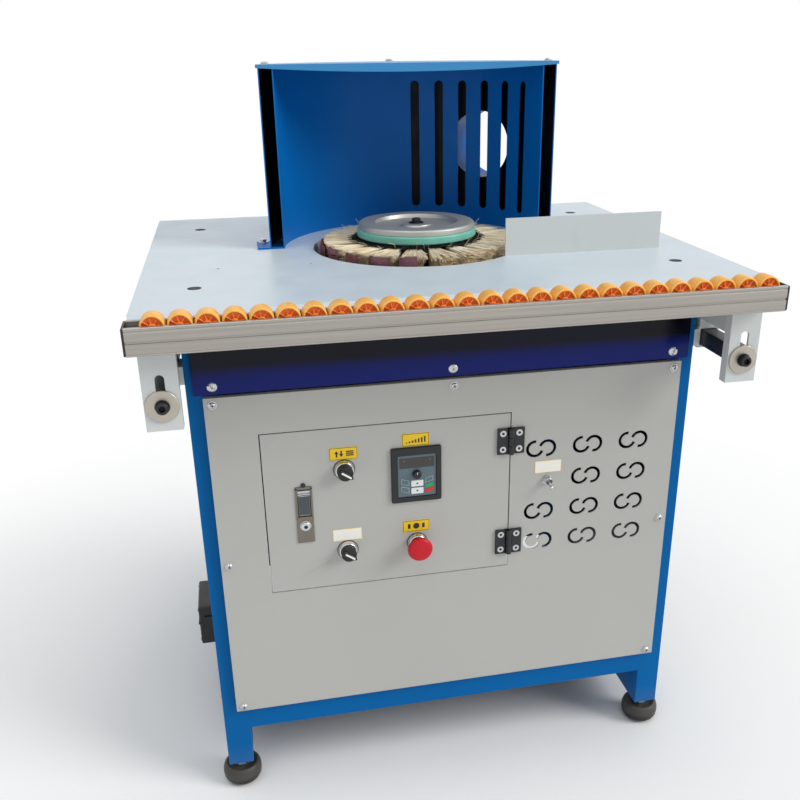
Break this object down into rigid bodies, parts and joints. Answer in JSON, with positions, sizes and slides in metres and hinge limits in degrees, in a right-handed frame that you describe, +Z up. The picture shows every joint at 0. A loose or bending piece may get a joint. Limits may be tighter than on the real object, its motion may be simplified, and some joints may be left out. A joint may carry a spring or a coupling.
{
  "type": "edge sanding machine",
  "caption": "Floor-standing edge sander: a disc brush turns and rises through a laminated table under a dust hood, with a pull-out roller rail, a fence and a control cabinet.",
  "frame": {"origin": "on the floor, at the centre of the footprint box", "axes": "X to the operator's right, Y from the operator to the back, Z up"},
  "size_m": [0.866, 0.74, 1.118],
  "materials": {
    "blue_paint": "gloss",
    "grey_paint": "satin",
    "navy_fascia": "gloss",
    "white_paint": "satin",
    "laminate": "satin laminate",
    "rail_aluminium": "satin",
    "hub_aluminium": "satin",
    "steel": "turned",
    "zinc": "zinc plated",
    "black_metal": "satin",
    "black_plastic": "matte",
    "red_plastic": "gloss",
    "orange_plastic": "satin",
    "foot_rubber": "matte",
    "bristle": "natural fibre",
    "abrasive": "abrasive cloth",
    "green_plastic": "satin",
    "motor_iron": "painted",
    "plate_steel": "ground"
  },
  "bodies": {
    "machine": {"stand_frame": "blue_paint", "front_cover": "grey_paint", "upper_fascia": "navy_fascia", "side_and_back_covers": "grey_paint", "foot_pads": "foot_rubber", "foot_studs": "zinc", "table_top": "laminate", "arm_guides": "white_paint", "hood_walls": "blue_paint", "hood_roof": "blue_paint", "fence": "white_paint", "side_box": "black_plastic", "cover_fittings": "black_metal", "oscillation_base": "plate_steel"},
    "door": {"control_door": "grey_paint", "hinge_door_leaves": "black_metal", "door_fittings": "zinc", "keypad": "black_plastic"},
    "latch_lever": {"latch_lever": "zinc"},
    "keypad_dial": {"keypad_dial": "black_plastic"},
    "upper_selector": {"upper_selector": "black_plastic"},
    "lower_selector": {"lower_selector": "black_plastic"},
    "stop_button": {"stop_button": "red_plastic"},
    "toggle_lever": {"toggle_lever": "zinc"},
    "carriage": {"slide_carriage": "plate_steel", "spindle_motor": "motor_iron"},
    "brush": {"brush_core": "hub_aluminium", "brush_bristles": "bristle", "abrasive_strips": "abrasive", "green_disc": "green_plastic", "clamp_flange": "steel"},
    "arms": {"slide_arms": "black_metal"},
    "rail": {"roller_rail": "rail_aluminium", "hanger_plates": "white_paint"},
    "wheel_01": {"wheel_01": "orange_plastic"},
    "wheel_02": {"wheel_02": "orange_plastic"},
    "wheel_03": {"wheel_03": "orange_plastic"},
    "wheel_04": {"wheel_04": "orange_plastic"},
    "wheel_05": {"wheel_05": "orange_plastic"},
    "wheel_06": {"wheel_06": "orange_plastic"},
    "wheel_07": {"wheel_07": "orange_plastic"},
    "wheel_08": {"wheel_08": "orange_plastic"},
    "wheel_09": {"wheel_09": "orange_plastic"},
    "wheel_10": {"wheel_10": "orange_plastic"},
    "wheel_11": {"wheel_11": "orange_plastic"},
    "wheel_12": {"wheel_12": "orange_plastic"},
    "wheel_13": {"wheel_13": "orange_plastic"},
    "wheel_14": {"wheel_14": "orange_plastic"},
    "wheel_15": {"wheel_15": "orange_plastic"},
    "wheel_16": {"wheel_16": "orange_plastic"},
    "wheel_17": {"wheel_17": "orange_plastic"},
    "wheel_18": {"wheel_18": "orange_plastic"},
    "wheel_19": {"wheel_19": "orange_plastic"},
    "wheel_20": {"wheel_20": "orange_plastic"},
    "wheel_21": {"wheel_21": "orange_plastic"},
    "wheel_22": {"wheel_22": "orange_plastic"},
    "wheel_23": {"wheel_23": "orange_plastic"},
    "wheel_24": {"wheel_24": "orange_plastic"},
    "wheel_25": {"wheel_25": "orange_plastic"},
    "wheel_26": {"wheel_26": "orange_plastic"}
  },
  "joints": [
    {"name": "brush_lift", "type": "slide", "parent": "machine", "child": "carriage", "axis": [0, 0, 1], "range_m": [-0.012, 0.012]},
    {"name": "brush_spin", "type": "hinge", "parent": "carriage", "child": "brush", "pos_m": [0, 0.025, 0.8], "axis": [0, 0, 1], "continuous": true},
    {"name": "door_swing", "type": "hinge", "parent": "machine", "child": "door", "pos_m": [0.08775, -0.245, 0.47], "axis": [0, 0, 1], "range_deg": [0, 115]},
    {"name": "latch_flip", "type": "hinge", "parent": "door", "child": "latch_lever", "pos_m": [-0.2265, -0.236, 0.534], "axis": [-1, 0, 0], "range_deg": [0, 35]},
    {"name": "upper_selector_turn", "type": "hinge", "parent": "door", "child": "upper_selector", "pos_m": [-0.1653, -0.25, 0.5655], "axis": [0, -1, 0], "range_deg": [0, 90]},
    {"name": "lower_selector_turn", "type": "hinge", "parent": "door", "child": "lower_selector", "pos_m": [-0.1653, -0.25, 0.431], "axis": [0, -1, 0], "range_deg": [0, 90]},
    {"name": "stop_press", "type": "slide", "parent": "door", "child": "stop_button", "axis": [0, 1, 0], "range_m": [0, 0.004], "stiffness_N_per_m": 800},
    {"name": "dial_turn", "type": "hinge", "parent": "door", "child": "keypad_dial", "pos_m": [-0.058, -0.245, 0.5485], "axis": [0, -1, 0], "range_deg": [-150, 150]},
    {"name": "toggle_tilt", "type": "hinge", "parent": "machine", "child": "toggle_lever", "pos_m": [0.149, -0.244, 0.515], "axis": [-1, 0, 0], "range_deg": [0, 26]},
    {"name": "arms_pull", "type": "slide", "parent": "machine", "child": "arms", "axis": [0, -1, 0], "range_m": [0, 0.23]},
    {"name": "rail_height", "type": "slide", "parent": "arms", "child": "rail", "axis": [0, 0, 1], "range_m": [-0.03, 0.01]},
    {"name": "wheel_01_roll", "type": "hinge", "parent": "rail", "child": "wheel_01", "pos_m": [-0.3975, -0.35, 0.8313], "axis": [0, 1, 0], "continuous": true},
    {"name": "wheel_02_roll", "type": "hinge", "parent": "rail", "child": "wheel_02", "pos_m": [-0.3653, -0.35, 0.8313], "axis": [0, 1, 0], "continuous": true},
    {"name": "wheel_03_roll", "type": "hinge", "parent": "rail", "child": "wheel_03", "pos_m": [-0.3331, -0.35, 0.8313], "axis": [0, 1, 0], "continuous": true},
    {"name": "wheel_04_roll", "type": "hinge", "parent": "rail", "child": "wheel_04", "pos_m": [-0.3009, -0.35, 0.8313], "axis": [0, 1, 0], "continuous": true},
    {"name": "wheel_05_roll", "type": "hinge", "parent": "rail", "child": "wheel_05", "pos_m": [-0.2687, -0.35, 0.8313], "axis": [0, 1, 0], "continuous": true},
    {"name": "wheel_06_roll", "type": "hinge", "parent": "rail", "child": "wheel_06", "pos_m": [-0.2365, -0.35, 0.8313], "axis": [0, 1, 0], "continuous": true},
    {"name": "wheel_07_roll", "type": "hinge", "parent": "rail", "child": "wheel_07", "pos_m": [-0.2043, -0.35, 0.8313], "axis": [0, 1, 0], "continuous": true},
    {"name": "wheel_08_roll", "type": "hinge", "parent": "rail", "child": "wheel_08", "pos_m": [-0.1721, -0.35, 0.8313], "axis": [0, 1, 0], "continuous": true},
    {"name": "wheel_09_roll", "type": "hinge", "parent": "rail", "child": "wheel_09", "pos_m": [-0.1399, -0.35, 0.8313], "axis": [0, 1, 0], "continuous": true},
    {"name": "wheel_10_roll", "type": "hinge", "parent": "rail", "child": "wheel_10", "pos_m": [-0.1077, -0.35, 0.8313], "axis": [0, 1, 0], "continuous": true},
    {"name": "wheel_11_roll", "type": "hinge", "parent": "rail", "child": "wheel_11", "pos_m": [-0.0755, -0.35, 0.8313], "axis": [0, 1, 0], "continuous": true},
    {"name": "wheel_12_roll", "type": "hinge", "parent": "rail", "child": "wheel_12", "pos_m": [-0.0433, -0.35, 0.8313], "axis": [0, 1, 0], "continuous": true},
    {"name": "wheel_13_roll", "type": "hinge", "parent": "rail", "child": "wheel_13", "pos_m": [-0.0111, -0.35, 0.8313], "axis": [0, 1, 0], "continuous": true},
    {"name": "wheel_14_roll", "type": "hinge", "parent": "rail", "child": "wheel_14", "pos_m": [0.0211, -0.35, 0.8313], "axis": [0, 1, 0], "continuous": true},
    {"name": "wheel_15_roll", "type": "hinge", "parent": "rail", "child": "wheel_15", "pos_m": [0.0533, -0.35, 0.8313], "axis": [0, 1, 0], "continuous": true},
    {"name": "wheel_16_roll", "type": "hinge", "parent": "rail", "child": "wheel_16", "pos_m": [0.0855, -0.35, 0.8313], "axis": [0, 1, 0], "continuous": true},
    {"name": "wheel_17_roll", "type": "hinge", "parent": "rail", "child": "wheel_17", "pos_m": [0.1177, -0.35, 0.8313], "axis": [0, 1, 0], "continuous": true},
    {"name": "wheel_18_roll", "type": "hinge", "parent": "rail", "child": "wheel_18", "pos_m": [0.1499, -0.35, 0.8313], "axis": [0, 1, 0], "continuous": true},
    {"name": "wheel_19_roll", "type": "hinge", "parent": "rail", "child": "wheel_19", "pos_m": [0.1821, -0.35, 0.8313], "axis": [0, 1, 0], "continuous": true},
    {"name": "wheel_20_roll", "type": "hinge", "parent": "rail", "child": "wheel_20", "pos_m": [0.2143, -0.35, 0.8313], "axis": [0, 1, 0], "continuous": true},
    {"name": "wheel_21_roll", "type": "hinge", "parent": "rail", "child": "wheel_21", "pos_m": [0.2465, -0.35, 0.8313], "axis": [0, 1, 0], "continuous": true},
    {"name": "wheel_22_roll", "type": "hinge", "parent": "rail", "child": "wheel_22", "pos_m": [0.2787, -0.35, 0.8313], "axis": [0, 1, 0], "continuous": true},
    {"name": "wheel_23_roll", "type": "hinge", "parent": "rail", "child": "wheel_23", "pos_m": [0.3109, -0.35, 0.8313], "axis": [0, 1, 0], "continuous": true},
    {"name": "wheel_24_roll", "type": "hinge", "parent": "rail", "child": "wheel_24", "pos_m": [0.3431, -0.35, 0.8313], "axis": [0, 1, 0], "continuous": true},
    {"name": "wheel_25_roll", "type": "hinge", "parent": "rail", "child": "wheel_25", "pos_m": [0.3753, -0.35, 0.8313], "axis": [0, 1, 0], "continuous": true},
    {"name": "wheel_26_roll", "type": "hinge", "parent": "rail", "child": "wheel_26", "pos_m": [0.4075, -0.35, 0.8313], "axis": [0, 1, 0], "continuous": true}
  ]
}
